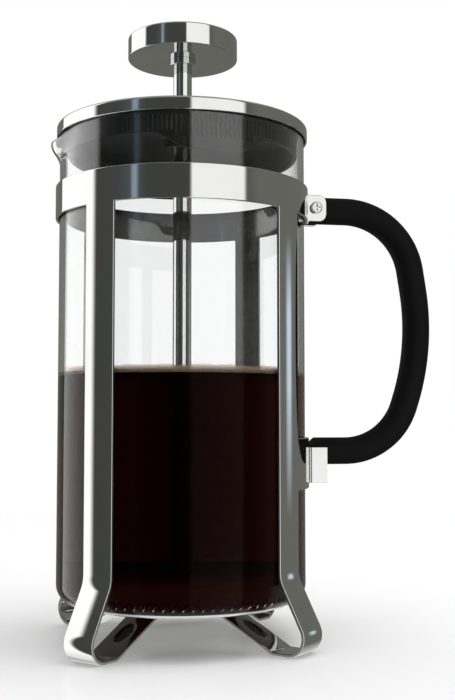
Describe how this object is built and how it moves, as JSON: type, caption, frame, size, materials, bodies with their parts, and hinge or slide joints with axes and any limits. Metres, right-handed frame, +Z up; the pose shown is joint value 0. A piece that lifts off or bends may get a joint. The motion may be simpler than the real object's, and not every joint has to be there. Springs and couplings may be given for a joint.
{
  "type": "french press",
  "caption": "Plunger coffee press: glass beaker in a polished steel cradle with splayed legs, D handle, slotted lid liner and spring-edged filter plunger.",
  "frame": {"origin": "on the beaker's axis at floor level, in the plane of the four feet", "axes": "+Z up along the plunger rod, +X towards the handle, -X towards the spout"},
  "size_m": [0.155, 0.1, 0.2378],
  "materials": {
    "polished_steel": "mirror polished",
    "fastener_steel": "bright turned",
    "glass": "clear borosilicate",
    "handle_plastic": "satin",
    "liner_plastic": "semi-gloss",
    "filter_steel": "pressed sheet",
    "spring_wire": "drawn wire"
  },
  "bodies": {
    "cradle": {"upper_band": "polished_steel", "leg_front_right": "polished_steel", "leg_back_right": "polished_steel", "leg_back_left": "polished_steel", "leg_front_left": "polished_steel", "base_plate": "polished_steel", "base_rivets": "fastener_steel", "handle_saddle": "polished_steel", "handle_bracket": "polished_steel", "handle": "handle_plastic", "clamp_screw": "fastener_steel", "clamp_nut": "fastener_steel"},
    "beaker": {"glass_beaker": "glass"},
    "cover": {"lid_cover": "polished_steel"},
    "liner": {"lid_liner": "liner_plastic"},
    "guide": {"rod_guide": "polished_steel"},
    "plunger": {"plunger_rod": "polished_steel", "knob": "polished_steel", "knob_collar": "polished_steel", "spring_plate": "filter_steel", "filter_mesh": "filter_steel", "cross_plate": "filter_steel", "coil_spring": "spring_wire", "hub_nut": "filter_steel"}
  },
  "joints": [
    {"name": "beaker_lift", "type": "slide", "parent": "cradle", "child": "beaker", "axis": [0, 0, 1], "range_m": [0, 0.185]},
    {"name": "lid_lift", "type": "slide", "parent": "beaker", "child": "cover", "axis": [0, 0, 1], "range_m": [0, 0.2]},
    {"name": "lid_turn", "type": "hinge", "parent": "cover", "child": "liner", "pos_m": [0, 0, 0.19], "axis": [0, 0, 1], "continuous": true},
    {"name": "plunger_spin", "type": "hinge", "parent": "cover", "child": "guide", "pos_m": [0, 0, 0.2], "axis": [0, 0, 1], "continuous": true},
    {"name": "plunger_slide", "type": "slide", "parent": "guide", "child": "plunger", "axis": [0, 0, 1], "range_m": [0, 0.16]}
  ]
}
